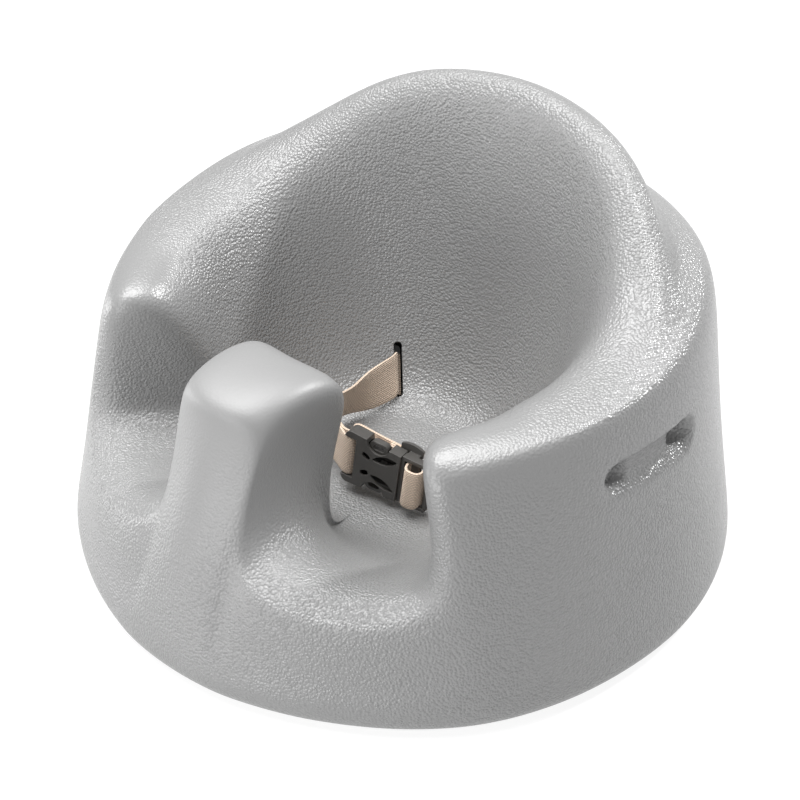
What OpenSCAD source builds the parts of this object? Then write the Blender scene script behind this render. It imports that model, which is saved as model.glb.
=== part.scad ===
// Baby floor seat: one moulded foam seat with a high back, arm rests and a pommel,
// and a lap belt of webbing with a side-release buckle, anchored under the seat.
// Millimetres, +Z up, the pommel faces -Y, the origin is the centre of the base on the floor.

/* [Seat body] */
// Width of the seat across its round base
base_d = 380; // [360:1:400]
// Height of the back rim
back_h = 236; // [220:1:250]
// Height of the arm rests
arm_h = 160; // [150:1:170]
// Height of the pommel between the legs
pommel_h = 165; // [155:1:175]
// Height of the lip under each leg
lip_h = 70; // [66:1:76]
// Height of the floor inside the well
floor_h = 40; // [36:1:44]
// Width of the pommel
pommel_w = 70; // [62:1:78]
// Angle from the front to the end of each arm rest, in degrees
arm_a = 48; // [46:1:50]
// Radius of the rounded edge round the base
edge_r = 8; // [5:1:12]

/* [Tray recesses] */
// Length of the recess in each outer wall
recess_l = 68; // [60:1:80]
// Height of the recess
recess_h = 18; // [14:1:22]
// Depth of the recess along its middle
recess_depth = 5; // [3:0.5:8]
// Depth of the pocket at each end of the recess
pocket_depth = 11; // [8:1:16]
// Height of the middle of the recess
recess_z = 124; // [112:1:130]
// Angle from the front to the middle of the recess, in degrees
recess_a = 89; // [84:1:94]

/* [Belt] */
// Width of the webbing
webbing_w = 25; // [22:0.5:26]
// Thickness of the webbing
webbing_t = 1.5; // [1.2:0.1:1.8]
// Length of the slot where the webbing leaves the seat
slot_l = 33; // [30:1:38]
// Width of that slot
slot_w = 5; // [4.6:0.1:6]
// Angle from the front to each slot, in degrees
slot_a = 136; // [132:1:140]
// Slope of each tunnel down into the seat, in degrees
tunnel_a = 38; // [34:1:42]
// Length of each tunnel
tunnel_l = 30; // [27:1:34]

/* [Anchors] */
// Length of each anchor plate
plate_l = 42; // [38:1:46]
// Width of each anchor plate
plate_w = 30; // [24:1:34]
// Thickness of each anchor plate
plate_t = 2.5; // [2:0.1:3]
// Diameter of the bar that the webbing loops round
bar_d = 3.2; // [2.6:0.1:3.4]
// Width of the pocket under the seat
cavity_w = 36; // [35:1:42]

/* [Buckle] */
// Length of the socket
socket_l = 36; // [35:0.5:40]
// Thickness of the socket
socket_t = 8; // [7.6:0.1:9]
// Thickness of the socket's front and back walls
wall_t = 1.4; // [1.2:0.1:1.6]
// Length of the plug's frame outside the socket
frame_l = 18.4; // [18:0.1:21]
// Thickness of the plug's frame
frame_t = 4.6; // [4:0.1:4.8]
// Diameter of the finger notch in each side of the socket
notch_d = 14.6; // [13.6:0.1:15]
// Length of the finger pad on each release arm
pad_l = 12; // [11:0.1:12.4]
// Width of the finger pad
pad_w = 7; // [6:0.1:7.2]
// Turn of the buckle about the upright, in degrees
buckle_yaw = 10; // [6:1:12]
// Droop of the buckle towards the plug, in degrees
buckle_roll = 6; // [4:1:7]
// Lean of the buckle's top edge to the back, in degrees
buckle_lean = 3; // [1:1:5]

/* [Clearances] */
// Gap between pieces that move past each other
run_gap = 0.3; // [0.25:0.05:0.4]
// Gap between pieces that lie against each other
seat_gap = 0.1; // [0.05:0.01:0.15]

/* [Hidden] */
$fn = 48;

foam = "darkgray";
webbing = "tan";
thread = "burlywood";
plastic = "dimgray";
steel = "silver";

over = 20;
base_r = base_d / 2;

// The foam's surface is a closed net of stations round the seat. Each station is a
// section from the base up over the rim and down to the floor of the well:
// angle shares (outer wall, outer crest, inner crest, well), height shares (shoulder, outer crest, inner
// crest, inner wall), radius shares (outer face, shoulder, outer crest, inner crest,
// inner wall, foot of the well), and how far a neck is drawn in below the crest.
pommel_shares = [
    [0.00, 0.00, 0.00, 0.00, 0.87, 0.965, 0.975, 0.76, 0.820, 0.790, 0.730, 0.485, 0.42, 0.45, 0],
    [0.18, 0.26, 0.68, 0.45, 0.87, 0.965, 0.975, 0.76, 0.815, 0.780, 0.720, 0.485, 0.42, 0.45, 0],
    [0.30, 0.46, 1.27, 0.90, 0.82, 0.95, 0.97, 0.75, 0.815, 0.765, 0.690, 0.495, 0.43, 0.45, 0],
    [0.36, 0.46, 0.84, 0.72, 0.67, 0.79, 0.81, 0.56, 0.860, 0.800, 0.730, 0.560, 0.52, 0.44, 0]
];
leg_shares = [
    [0.00, 0.02, -0.34, -0.12, 1.08, 1.20, 1.14, 0.88, 0.915, 0.870, 0.780, 0.620, 0.54, 0.41, 0],
    [0.12, 0.12, 0.10, 0.17, 0.95, 1.04, 1.00, 0.80, 0.940, 0.920, 0.840, 0.740, 0.58, 0.34, 0],
    [0.42, 0.47, 0.52, 0.58, 0.87, 0.98, 0.94, 0.77, 0.955, 0.935, 0.850, 0.760, 0.58, 0.30, 0],
    [0.73, 0.77, 0.80, 0.95, 0.90, 1.01, 0.96, 0.75, 0.955, 0.935, 0.850, 0.760, 0.59, 0.30, 0],
    [0.88, 0.98, 1.06, 1.30, 1.10, 1.18, 1.11, 0.86, 0.945, 0.920, 0.840, 0.740, 0.61, 0.32, 0]
];
arm_shares = [
    [-0.02, -0.020, -0.045, 0.05, 0.86, 0.93, 0.90, 0.68, 0.910, 0.880, 0.820, 0.700, 0.600, 0.36, 0],
    [0.00, -0.005, 0.010, 0.07, 0.93, 0.97, 0.96, 0.72, 0.895, 0.870, 0.805, 0.670, 0.590, 0.37, 0],
    [0.07, 0.065, 0.075, 0.10, 0.95, 0.98, 0.98, 0.74, 0.890, 0.865, 0.795, 0.660, 0.575, 0.37, 0],
    [0.19, 0.19, 0.19, 0.19, 0.98, 1.00, 1.00, 0.76, 0.900, 0.875, 0.785, 0.635, 0.560, 0.36, 0],
    [0.32, 0.32, 0.32, 0.32, 1.01, 1.03, 1.03, 0.81, 0.910, 0.885, 0.775, 0.620, 0.545, 0.34, 0],
    [0.42, 0.42, 0.42, 0.42, 1.05, 1.11, 1.11, 0.88, 0.915, 0.890, 0.760, 0.615, 0.535, 0.33, 0.3]
];
back_shares = [
    [0.52, 0.52, 0.52, 0.52, 0.74, 0.83, 0.83, 0.65, 0.905, 0.880, 0.715, 0.590, 0.525, 0.32, 0.8],
    [0.62, 0.62, 0.62, 0.62, 0.765, 0.92, 0.92, 0.72, 0.900, 0.875, 0.670, 0.560, 0.510, 0.315, 1],
    [0.73, 0.73, 0.73, 0.73, 0.76, 0.975, 0.975, 0.78, 0.900, 0.875, 0.640, 0.525, 0.490, 0.31, 0.9],
    [0.865, 0.865, 0.865, 0.865, 0.74, 1.00, 1.00, 0.80, 0.905, 0.880, 0.610, 0.495, 0.465, 0.31, 0.5],
    [1.00, 1.00, 1.00, 1.00, 0.71, 1.01, 1.01, 0.81, 0.905, 0.880, 0.600, 0.485, 0.450, 0.31, 0.3]
];
// Taper of the outer wall, and the height and inset of its fullest line
taper_share = 0.15;
belly_h = 22;
belly_inset = 1.5;
// Radius of the lying face of the base inside its rounded edge
pad_inset = 18;
// Reach and drop of the neck below the crest
neck_reach = [14, 8];
neck_rise = 3;
pommel_a = atan(pommel_w / 2 / (0.48 * base_r));
nose_a = 0.4 * pommel_a;
arm_end_a = arm_a;

function mix(a, b, t) = a + (b - a) * t;
function unit(v) = v / norm(v);
function clamp(t) = max(0, min(1, t));

// A station's angles run from one of the two angles given, for its outer and inner sides
function section(s, height, from, to) = let (
    side_a = mix(from[0], to, s[0]), out_a = mix(from[0], to, s[1]),
    crest_a = mix(from[1], to, s[2]), well_a = mix(from[1], to, s[3]),
    shoulder_z = s[4] * height, outer_z = s[5] * height,
    inner_z = s[6] * height, wall_z = s[7] * height,
    face_r = s[8] * base_r, shoulder_r = s[9] * base_r, outer_r = s[10] * base_r,
    inner_r = s[11] * base_r, wall_r = s[12] * base_r, foot_r = s[13] * base_r,
    neck = s[14],
    low_z = 0.46 * shoulder_z, face_z = 0.8 * shoulder_z,
    low_r = mix(base_r - taper_share * low_z, face_r + taper_share * (face_z - low_z), 0.3),
    profile = [
        [base_r - edge_r - pad_inset, 0],
        [base_r - edge_r, 0],
        [base_r, edge_r],
        [base_r - belly_inset, belly_h],
        [low_r, low_z],
        [face_r, face_z],
        [shoulder_r, shoulder_z],
        [mix(mix(shoulder_r, outer_r, 1 / 3), outer_r + neck_reach[0], neck),
            mix(mix(shoulder_z, outer_z, 1 / 3), shoulder_z + neck_rise, neck)],
        [mix(mix(shoulder_r, outer_r, 2 / 3), outer_r + neck_reach[1], neck),
            mix(mix(shoulder_z, outer_z, 2 / 3), mix(shoulder_z, outer_z, 0.6), neck)],
        [outer_r, outer_z],
        [inner_r, inner_z],
        [wall_r, wall_z],
        [mix(foot_r, wall_r, 0.66), mix(floor_h, wall_z, 0.5)],
        [mix(foot_r, wall_r, 0.28), mix(floor_h, wall_z, 0.13)],
        [0.84 * foot_r, floor_h],
        [0.5 * foot_r, floor_h],
        [0.2 * foot_r, floor_h]
    ]
) [
    for (row = [0 : len(profile) - 1]) let (
        r = profile[row][0],
        t = clamp((r - inner_r) / (face_r - inner_r)),
        well_t = row < 11 ? 0 : row == 11 ? 0.4 : 1,
        a = row < 6 ? side_a : mix(mix(crest_a, out_a, t), well_a, well_t)
    ) [r * sin(a), -r * cos(a), profile[row][1]]
];

half_net = [
    for (s = pommel_shares) section(s, pommel_h, [0, 0], pommel_a),
    for (s = leg_shares) section(s, lip_h, [nose_a, pommel_a], arm_end_a),
    for (s = arm_shares) section(s, arm_h, [arm_end_a, arm_end_a], 180),
    for (s = back_shares) section(s, back_h, [arm_end_a, arm_end_a], 180)
];
function mirrored(station) = [for (p = station) [-p[0], p[1], p[2]]];
net = concat(half_net, [for (i = [len(half_net) - 2 : -1 : 1]) mirrored(half_net[i])]);

// Cubic B-spline weights
function weights(t) = [
    pow(1 - t, 3) / 6,
    (3 * pow(t, 3) - 6 * t * t + 4) / 6,
    (-3 * pow(t, 3) + 3 * t * t + 3 * t + 1) / 6,
    pow(t, 3) / 6
];
// A station with its end points reflected, so that the surface reaches them
function reached(s) = concat([2 * s[0] - s[1]], s, [2 * s[len(s) - 1] - s[len(s) - 2]]);
function along(s, v) = let (
    full = reached(s),
    i = min(floor(v), len(s) - 2),
    w = weights(v - i)
) w[0] * full[i] + w[1] * full[i + 1] + w[2] * full[i + 2] + w[3] * full[i + 3];

round_steps = 3;
rise_steps = 3;
stations = len(net);
rows = len(net[0]);
rings_n = (rows - 1) * rise_steps + 1;
sides_n = stations * round_steps;
sections = [for (s = net) [for (j = [0 : rings_n - 1]) along(s, j / rise_steps)]];
function on_foam(i, j) = let (
    k = floor(i / round_steps),
    w = weights(i / round_steps - k)
) w[0] * sections[(k + stations - 1) % stations][j] + w[1] * sections[k % stations][j]
    + w[2] * sections[(k + 1) % stations][j] + w[3] * sections[(k + 2) % stations][j];

module foam_shell() {
    points = [for (i = [0 : sides_n - 1]) for (j = [0 : rings_n - 1]) on_foam(i, j)];
    base_mid = len(points);
    floor_mid = base_mid + 1;
    function at(i, j) = (i % sides_n) * rings_n + j;
    polyhedron(
        points = concat(points, [[0, 0, 0], [0, 0, floor_h]]),
        faces = concat(
            [for (i = [0 : sides_n - 1]) for (j = [0 : rings_n - 2])
                [at(i, j), at(i, j + 1), at(i + 1, j + 1)]],
            [for (i = [0 : sides_n - 1]) for (j = [0 : rings_n - 2])
                [at(i, j), at(i + 1, j + 1), at(i + 1, j)]],
            [for (i = [0 : sides_n - 1]) [base_mid, at(i, 0), at(i + 1, 0)]],
            [for (i = [0 : sides_n - 1]) [floor_mid, at(i + 1, rings_n - 1), at(i, rings_n - 1)]]
        ),
        convexity = 10
    );
}

// A bar with round ends
module stadium(l, w) {
    square([l - w, w], center = true);
    for (s = [-1, 1])
        translate([s * (l - w) / 2, 0]) circle(d = w);
}

// Tray recess in the right wall: a shallow groove with a deeper pocket at each end
recess_r = base_r - taper_share * recess_z;
pocket_d = 0.8 * recess_h;
module tray_recess() {
    intersection() {
        rotate([90, 0, recess_a])
            linear_extrude(base_r) translate([0, recess_z]) stadium(recess_l, recess_h);
        difference() {
            cylinder(r = base_r + over, h = recess_z + recess_h, $fn = 120);
            cylinder(r = recess_r - recess_depth, h = recess_z + recess_h, $fn = 120);
        }
    }
    spread = (recess_l - recess_h) / 2 / recess_r * 180 / PI;
    for (s = [-1, 1])
        rotate([90, 0, recess_a + s * spread]) translate([0, recess_z, recess_r - pocket_depth])
            cylinder(d = pocket_d, h = pocket_depth + over);
}

// Belt slot: the webbing's middle crosses the wall of the well here
slot_share = 0.318;
mouth_r = slot_share * base_r;
mouth_z = floor_h + 0.62 * webbing_w;
slot_rise = slot_l / 2 - 0.56 * webbing_w;
// Seats what it holds on the right side's tunnel: X into the foam, Z up along the wall
module at_tunnel() {
    rotate([0, 0, slot_a - 90]) translate([mouth_r, 0, mouth_z])
        rotate([0, tunnel_a, 0]) children();
}
tunnel_in = [cos(tunnel_a), -sin(tunnel_a)];
tunnel_up = [sin(tunnel_a), cos(tunnel_a)];
roof_mid = [mouth_r, mouth_z] + tunnel_l * tunnel_in;
roof_low = roof_mid - (plate_l / 2 + run_gap) * tunnel_up;
roof_high = roof_mid + (plate_l / 2 + run_gap) * tunnel_up;
loop_r = bar_d / 2 + seat_gap + webbing_t;
bar_x = tunnel_l + plate_t + bar_d / 2;
cavity_r = roof_high[0] + (bar_d + plate_t + 2 * loop_r) * tunnel_in[0];
module belt_way() {
    at_tunnel() translate([-slot_w, 0, slot_rise]) rotate([0, 90, 0])
        linear_extrude(tunnel_l + 2 * slot_w) stadium(slot_l, slot_w);
    rotate([90, 0, slot_a - 90]) linear_extrude(cavity_w, center = true) polygon([
        [roof_low[0], -over], roof_low, roof_high, [cavity_r, roof_high[1]], [cavity_r, -over]
    ]);
}

module seat_body() {
    color(foam) difference() {
        foam_shell();
        for (side = [0, 1]) mirror([side, 0, 0]) {
            tray_recess();
            belt_way();
        }
    }
}

// The webbing's loop round the anchor bar: two layers that meet at fork_x
near = seat_gap / 2;
eye_r = loop_r - webbing_t;
fork_x = 0.93 * tunnel_l;
return_x = 0.3 * tunnel_l;
tack_w = 0.8 * webbing_t;
tack_l = 0.76 * webbing_w;
tack_proud = 0.2 * webbing_t;
module anchor_tack_shape() {
    at_tunnel() translate([tunnel_l / 2, 0, 0])
        cube([tack_w, 2 * (webbing_t + tack_proud) + seat_gap, tack_l], center = true);
}
module anchor_strap() {
    color(webbing) difference() {
        at_tunnel() linear_extrude(webbing_w, center = true) polygon(concat(
            [[0, -near], [0, -near - webbing_t], [fork_x, -near - webbing_t]],
            [for (a = [-100 : 20 : 100]) [bar_x + loop_r * cos(a), loop_r * sin(a)]],
            [[fork_x, near + webbing_t], [return_x, near + webbing_t]],
            [[return_x, near], [fork_x, near]],
            [for (a = [100 : -20 : -100]) [bar_x + eye_r * cos(a), eye_r * sin(a)]],
            [[fork_x, -near]]
        ));
        anchor_tack_shape();
    }
}
window_w = 2 * loop_r + 1.2 * webbing_t;
window_l = webbing_w + 4 * run_gap;
ear_t = 1.2 * plate_t;
module anchor_plate() {
    color(steel) at_tunnel() translate([tunnel_l, 0, 0]) {
        difference() {
            rotate([0, 90, 0]) linear_extrude(plate_t) difference() {
                square([plate_l, plate_w], center = true);
                square([window_l, window_w], center = true);
            }
        }
        for (s = [-1, 1])
            translate([plate_t + bar_d / 2, 0, s * (window_l + ear_t) / 2])
                cube([1.4 * bar_d, 2 * bar_d, ear_t], center = true);
        translate([plate_t + bar_d / 2, 0, 0])
            cylinder(d = bar_d, h = window_l + ear_t, center = true);
    }
}

// Buckle frame: X runs from the socket to the plug, Y up, Z to the front, and the
// origin is the middle of the socket's mouth
buckle_x_share = 0.161;
buckle_y_share = -0.192;
buckle_at = [buckle_x_share * base_r, buckle_y_share * base_r, floor_h + 0.84 * webbing_w];
module at_buckle() {
    translate(buckle_at) rotate([90 - buckle_lean, 0, buckle_yaw])
        rotate([0, 0, -buckle_roll]) children();
}
function spun(v, a) = [v[0] * cos(a) - v[1] * sin(a), v[0] * sin(a) + v[1] * cos(a), v[2]];
function tipped(v, a) = [v[0], v[1] * cos(a) - v[2] * sin(a), v[1] * sin(a) + v[2] * cos(a)];
function turned(v) = spun(tipped(spun(v, -buckle_roll), 90 - buckle_lean), buckle_yaw);
function buckle_knot(p) = concat(buckle_at + turned([p[0], 0, p[1]]), turned([0, 1, 0]));

// A ribbon of webbing through knots, each a middle point and the way its width lies
function smooth(k, i, t) = let (
    a = k[max(i - 1, 0)], b = k[i], c = k[i + 1], d = k[min(i + 2, len(k) - 1)]
) (2 * b + (c - a) * t + (2 * a - 5 * b + 4 * c - d) * t * t
    + (3 * b - a - 3 * c + d) * pow(t, 3)) / 2;
knot_steps = 3;
module ribbon(knots) {
    rings = concat(
        [for (i = [0 : len(knots) - 2]) for (t = [0 : knot_steps - 1])
            smooth(knots, i, t / knot_steps)],
        [knots[len(knots) - 1]]
    );
    last = len(rings) - 1;
    function mid(i) = [rings[i][0], rings[i][1], rings[i][2]];
    function up(i) = unit([rings[i][3], rings[i][4], rings[i][5]]);
    function ahead(i) = unit(mid(min(i + 1, last)) - mid(max(i - 1, 0)));
    function face(i) = unit(cross(ahead(i), up(i)));
    points = [for (i = [0 : last]) for (c = [[1, 1], [1, -1], [-1, -1], [-1, 1]])
        mid(i) + c[0] * up(i) * webbing_w / 2 + c[1] * face(i) * webbing_t / 2];
    polyhedron(
        points = points,
        faces = concat(
            [for (i = [0 : last - 1]) for (c = [0 : 3])
                [4 * i + c, 4 * i + (c + 1) % 4, 4 * (i + 1) + (c + 1) % 4]],
            [for (i = [0 : last - 1]) for (c = [0 : 3])
                [4 * i + c, 4 * (i + 1) + (c + 1) % 4, 4 * (i + 1) + c]],
            [[3, 2, 1], [3, 1, 0]],
            [[4 * last, 4 * last + 1, 4 * last + 2], [4 * last, 4 * last + 2, 4 * last + 3]]
        ),
        convexity = 10
    );
}

// Where the belt meets the webbing in the tunnel, on the right
slot_turn = slot_a - 90;
function tunnel_knot(x, y) = concat(
    spun([mouth_r + x * tunnel_in[0], y, mouth_z + x * tunnel_in[1]], slot_turn),
    spun([tunnel_up[0], 0, tunnel_up[1]], slot_turn)
);
function to_left(k) = [-k[0], k[1], k[2], -k[3], k[4], k[5]];
layer_y = -(webbing_t + seat_gap) / 2;
mouth_knots = [
    tunnel_knot(-run_gap, layer_y),
    tunnel_knot(-1.4 * webbing_t, 1.6 * layer_y)
];

// Free runs: shares of the base radius across and along, the rise above the well's
// floor as a share of the webbing's width, and the lean of its top edge outwards
left_run_shares = [
    [-0.216, 0.195, 0.65, 30],
    [-0.218, 0.105, 0.67, 10],
    [-0.224, 0.010, 0.72, -16],
    [-0.218, -0.063, 0.80, -18],
    [-0.190, -0.132, 0.92, -12],
    [-0.137, -0.184, 1.02, -7]
];
right_run_shares = [
    [0.226, 0.195, 0.66, 32],
    [0.260, 0.137, 0.68, 26],
    [0.290, 0.063, 0.70, 20],
    [0.303, -0.016, 0.72, 15],
    [0.300, -0.090, 0.74, 9]
];
function run_knot(s) = let (
    out = unit([s[0], s[1], 0])
) concat(
    [s[0] * base_r, s[1] * base_r, floor_h + s[2] * webbing_w],
    sin(s[3]) * out + [0, 0, cos(s[3])]
);

// Socket bar, and the strap that comes over its front, round it and back
lug_w = 4.2;
mouth_rail_w = 2.3;
strap_room = webbing_w / 2 + 2 * run_gap;
bar_w = 4.3;
bar_t = 4;
bar_end = 0.7;
slot_gap = 1;
bar_mid = -(socket_l - bar_end - bar_w / 2);
loop_mid = bar_mid + (bar_w - bar_t) / 2;
wrap_r = bar_t / 2 + run_gap / 2 + webbing_t / 2;
slot_right = loop_mid + wrap_r + webbing_t / 2 + slot_gap;
// Places left of the bar, in strap thicknesses from the middle of the wrap
front_leg_shares = [[-11.2, -4.4], [-7.9, -2.2], [-5.2, -0.6], [-3.3, 0.7], [-1.6, 1.6]];
back_leg_shares = [[-2.2, -1.75], [-4.7, -1.8], [-7.3, -3.1], [-10.6, -5.3]];
function leg_knot(s) = buckle_knot([loop_mid + s[0] * webbing_t, s[1] * webbing_t]);
left_knots = concat(
    [for (k = mouth_knots) to_left(k)],
    [for (s = left_run_shares) run_knot(s)],
    [for (s = front_leg_shares) leg_knot(s)],
    [for (a = [90 : -30 : -90]) buckle_knot([loop_mid + wrap_r * cos(a), wrap_r * sin(a)])],
    [for (s = back_leg_shares) leg_knot(s)]
);
strap_tack_shares = [-8.95, -3.5];
strap_tack_a = 33;
module strap_tack_shape() {
    at_buckle() translate([
        loop_mid + strap_tack_shares[0] * webbing_t, 0, strap_tack_shares[1] * webbing_t
    ]) rotate([0, -strap_tack_a, 0])
        cube([tack_w, tack_l, 2 * (webbing_t + tack_proud) + seat_gap], center = true);
}
module left_strap() {
    color(webbing) difference() {
        ribbon(left_knots);
        strap_tack_shape();
    }
}

// Plug frame: a stop at the mouth, a slot, the bar that grips, a slot and the end bar
stop_l = 2;
frame_slot_l = 3.4;
grip_l = 6.2;
end_bar_d = 3.2;
grip_t = 3;
grip_from = stop_l + frame_slot_l;
end_bar_at = frame_l - end_bar_d / 2;
frame_room = webbing_w / 2 + 2 * run_gap;
rail_w = 2.3;
join_x = frame_l + 3.7 * webbing_t;
// The adjuster's path in strap thicknesses: from behind the end bar, over the gripping
// bar in a loose loop, back through the first slot, behind the socket and home again
end_wrap_shares = [[1.6, -1.83], [0, -1.8], [-1.15, -1.3], [-1.75, -0.25], [-2.05, 1.0]];
front_loop_shares = [[6.0, 2.6], [5.3, 4.4], [3.4, 5.1], [1.2, 4.85], [-0.15, 3.3], [-0.6, 1.0],
    [-0.7, -1.0], [-1.4, -2.9]];
tail_shares = [[-0.3, -3.75], [-5.3, -3.95], [-12, -3.75], [-18.7, -3.8], [-22.6, -4.1],
    [-24.4, -5.0], [-24.7, -6.3], [-23.8, -7.25], [-21.3, -7.35], [-16, -6.8], [-9.3, -6.45],
    [-3.3, -6.35], [-2.55, -6.15], [-2.3, -5.75], [-2.55, -5.35], [-3.3, -5.2], [-8.6, -5.2]];
loop_from = grip_from - 2 * run_gap;
adjuster_knots = concat(
    [buckle_knot([join_x, -2 * webbing_t])],
    [for (s = end_wrap_shares) buckle_knot([end_bar_at, 0] + s * webbing_t)],
    [for (s = front_loop_shares) buckle_knot([loop_from, 0] + s * webbing_t)],
    [for (s = tail_shares) buckle_knot(s * webbing_t)]
);
tail_tack_shares = [-6, -5.8];
module tail_tack_shape() {
    at_buckle() translate([
        tail_tack_shares[0] * webbing_t, 0, tail_tack_shares[1] * webbing_t
    ]) cube([tack_w, tack_l, 2 * (webbing_t + tack_proud) + 2 * seat_gap], center = true);
}
module adjuster_strap() {
    color(webbing) difference() {
        ribbon(adjuster_knots);
        tail_tack_shape();
    }
}
right_knots = concat(
    mouth_knots,
    [for (s = right_run_shares) run_knot(s)],
    [for (x = [3.2 * webbing_t, 0]) buckle_knot([join_x + 2 * run_gap + x, -2 * webbing_t])]
);
module right_strap() {
    color(webbing) ribbon(right_knots);
}

// Socket
socket_half = strap_room + lug_w;
mouth_half = strap_room + mouth_rail_w;
lug_r = 4.6;
cavity_half = mouth_half - 1.7 * wall_t;
latch_depth = 1.2;
latch_l = 7.6;
room_t = socket_t - 2 * wall_t;
room_l = slot_right + wall_t;
notch_at = [-1.01 * notch_d, 1.18 * notch_d];
pad_at = [notch_at[0] - run_gap, notch_at[1] - 0.3 * notch_d];
leaf_l = 16.3;
leaf_w = 5.4;
leaf_mid = [-9.4, 7.8];
leaf_a = 18;
oval_l = 5.4;
oval_w = 3.4;
oval_at = [-21.3, 5.7];
oval_a = 30;
module leaf() {
    bow_r = (pow(leaf_l, 2) + pow(leaf_w, 2)) / (4 * leaf_w);
    intersection_for (s = [-1, 1])
        translate([0, s * (bow_r - leaf_w / 2)]) circle(r = bow_r, $fn = 96);
}
module socket_outline() {
    end = -socket_l;
    polygon([
        [end, -socket_half + lug_r], [end + lug_r, -socket_half], [0, -mouth_half],
        [0, mouth_half], [end + lug_r, socket_half], [end, socket_half - lug_r]
    ]);
    for (s = [-1, 1])
        translate([end + lug_r, s * (socket_half - lug_r)]) circle(r = lug_r);
}
module buckle_socket() {
    color(plastic) at_buckle() difference() {
        linear_extrude(socket_t, center = true) socket_outline();
        linear_extrude(room_t, center = true) {
            polygon([
                [room_l, -cavity_half - latch_depth], [-latch_l, -cavity_half - latch_depth],
                [-latch_l + latch_depth, -cavity_half], [over, -cavity_half],
                [over, cavity_half], [-latch_l + latch_depth, cavity_half],
                [-latch_l, cavity_half + latch_depth], [room_l, cavity_half + latch_depth]
            ]);
        }
        for (s = [-1, 1]) {
            translate([notch_at[0], s * notch_at[1], 0])
                cylinder(d = notch_d, h = socket_t + over, center = true);
            linear_extrude(socket_t) {
                translate([leaf_mid[0], s * leaf_mid[1]]) rotate(s * leaf_a) leaf();
                translate([oval_at[0], s * oval_at[1]]) rotate(-s * oval_a)
                    stadium(oval_l, oval_w);
            }
            translate([-socket_l / 2 - over, 0, s * (bar_t + socket_t) / 2])
                cube([socket_l + 2 * (over + slot_right), 2 * strap_room, socket_t], center = true);
        }
        difference() {
            translate([-socket_l - over + (slot_right + socket_l + over) / 2, 0, 0])
                cube([slot_right + socket_l + over, 2 * strap_room, bar_t], center = true);
            translate([bar_mid, 0, 0]) rotate([90, 0, 0])
                linear_extrude(2 * strap_room, center = true) stadium(bar_w, bar_t);
        }
    }
}

// Plug, with the guide tongue in the socket and a finger tab behind its upper rail
neck_l = 2.2;
tongue_l = 14;
tongue_w = 6;
tab_l = 14;
tab_rise = 4.6;
tab_t = 1.7;
tab_from = -5;
tab_back = socket_t / 2 + 2 * run_gap;
frame_half = frame_room + rail_w;
module bar_across(at, w, t) {
    translate([at, 0, 0]) rotate([90, 0, 0])
        linear_extrude(2 * frame_room + rail_w, center = true) stadium(w, t);
}
module buckle_plug() {
    color(plastic) at_buckle() {
        linear_extrude(frame_t, center = true) {
            translate([run_gap, -frame_half]) square([stop_l - run_gap, 2 * frame_half]);
            for (s = [-1, 1]) {
                translate([stop_l / 2, s * (frame_half - rail_w / 2) - rail_w / 2])
                    square([end_bar_at - stop_l / 2, rail_w]);
                translate([end_bar_at, s * (frame_half - rail_w / 2)]) circle(d = rail_w);
            }
            translate([-neck_l, -cavity_half + run_gap])
                square([neck_l + stop_l / 2, 2 * (cavity_half - run_gap)]);
            translate([-tongue_l, -tongue_w / 2]) square([tongue_l, tongue_w]);
        }
        bar_across(grip_from + grip_l / 2, grip_l, grip_t);
        bar_across(end_bar_at, end_bar_d + seat_gap, end_bar_d);
        translate([0, 0, -tab_back - tab_t]) linear_extrude(tab_t) intersection() {
            translate([tab_from, frame_room + run_gap]) square([tab_l, rail_w + tab_rise]);
            translate([tab_from + tab_l / 2, frame_half + tab_rise - tab_l])
                circle(r = tab_l, $fn = 96);
        }
        translate([stop_l / 2, frame_room + run_gap, -tab_back - tab_t])
            cube([tab_from + tab_l - stop_l, rail_w - run_gap, tab_back + tab_t]);
    }
}

// Release arms, drawn for the upper side
arm_root_r = 1.3;
arm_t = 4.2;
arm_rise = 2.4;
arm_root = [-neck_l - run_gap - arm_root_r, cavity_half - arm_rise];
pad_hole_l = 7.4;
pad_hole_w = 3;
module release_arm(side) {
    cap = [(pad_l - pad_w) / 2, 0];
    color(plastic) at_buckle() mirror([0, side, 0]) linear_extrude(arm_t, center = true)
        difference() {
            polygon(concat(
                [for (a = [-90 : 15 : 90]) arm_root + arm_root_r * [cos(a), sin(a)]],
                [for (a = [-15 : 15 : 90]) pad_at + cap + pad_w / 2 * [cos(a), sin(a)]],
                [for (a = [90 : 15 : 270]) pad_at - cap + pad_w / 2 * [cos(a), sin(a)]]
            ));
            translate(pad_at) polygon([
                for (s = [-1, 1], a = [-90 : 15 : 90])
                    s * [(pad_hole_l - pad_hole_w) / 2 + pad_hole_w / 2 * cos(a), pad_hole_w / 2 * sin(a)]
            ]);
        }
}

seat_body();
mirror([1, 0, 0]) anchor_plate();  // left_anchor_plate
anchor_plate();  // right_anchor_plate
mirror([1, 0, 0]) anchor_strap();  // left_anchor_strap
anchor_strap();  // right_anchor_strap
mirror([1, 0, 0]) color(thread) anchor_tack_shape();  // left_anchor_tack
color(thread) anchor_tack_shape();  // right_anchor_tack
left_strap();
right_strap();
adjuster_strap();
color(thread) strap_tack_shape();  // left_strap_tack
color(thread) tail_tack_shape();  // tail_tack
buckle_socket();
buckle_plug();
release_arm(0);  // upper_release_arm
release_arm(1);  // lower_release_arm
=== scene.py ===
"""A baby floor seat of moulded foam, with its webbing lap belt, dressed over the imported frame."""
import math

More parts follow.
